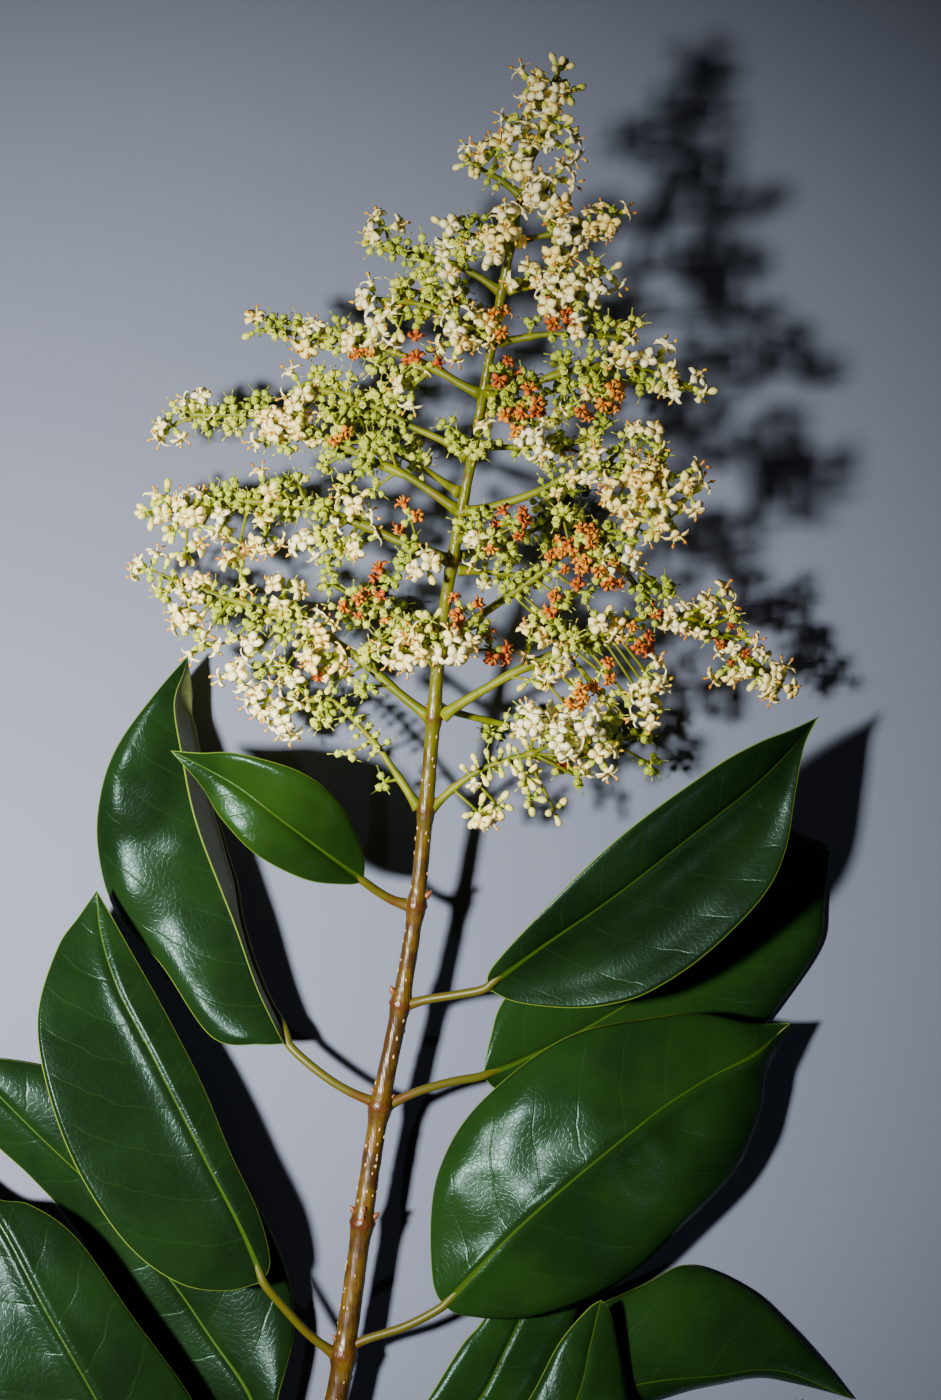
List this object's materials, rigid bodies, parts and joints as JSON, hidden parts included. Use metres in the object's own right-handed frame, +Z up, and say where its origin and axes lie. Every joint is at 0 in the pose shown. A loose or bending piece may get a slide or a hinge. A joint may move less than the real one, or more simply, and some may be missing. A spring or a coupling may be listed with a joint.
{
  "type": "cut flowering privet branch",
  "caption": "Cut branch of broad-leaved privet: a woody stem with large glossy leaves and a cone-shaped head of small cream flowers, lying down",
  "frame": {"origin": "centre of the bounding box in plan, on the surface that the branch lies on", "axes": "+Y runs along the stem from the cut end to the tip of the flower head, +X is to the right seen from above, +Z is up"},
  "size_m": [0.2322, 0.4187, 0.0659],
  "materials": {
    "stem": "smooth glossy bark, brown turning yellow-green upward, with pale dots",
    "leaf": "glossy dark green leaf with a yellow-green midrib and edge",
    "flower": "soft cream petals, pale green cups and a few rust-coloured withered flowers"
  },
  "bodies": {
    "root": {"flowers_back_high_left": "flower", "flowers_back_high_right": "flower", "flowers_back_low_left": "flower", "flowers_back_low_right": "flower", "flowers_back_middle_left": "flower", "flowers_back_middle_right": "flower", "flowers_eighth_left": "flower", "flowers_eighth_right": "flower", "flowers_fifth_left": "flower", "flowers_fifth_right": "flower", "flowers_fourth_left": "flower", "flowers_fourth_right": "flower", "flowers_front_hanging": "flower", "flowers_front_high": "flower", "flowers_front_low": "flower", "flowers_front_middle": "flower", "flowers_front_ninth": "flower", "flowers_front_seventh": "flower", "flowers_low_left": "flower", "flowers_low_right": "flower", "flowers_ninth_left": "flower", "flowers_ninth_right": "flower", "flowers_second_left": "flower", "flowers_second_right": "flower", "flowers_seventh_left": "flower", "flowers_seventh_right": "flower", "flowers_short_left": "flower", "flowers_sixth_left": "flower", "flowers_sixth_right": "flower", "flowers_tenth_left": "flower", "flowers_tenth_right": "flower", "flowers_thick_right": "flower", "flowers_third_left": "flower", "flowers_third_right": "flower", "flowers_tip": "flower", "leaf_behind_left": "leaf", "leaf_behind_right": "leaf", "leaf_front_right": "leaf", "leaf_low_left": "leaf", "leaf_low_right": "leaf", "leaf_lowest_right": "leaf", "leaf_mid_left": "leaf", "leaf_mid_right": "leaf", "leaf_small_left": "leaf", "leaf_under_right": "leaf", "leaf_upper_left": "leaf", "leaf_upper_right": "leaf", "stem": "stem"}
  },
  "joints": []
}
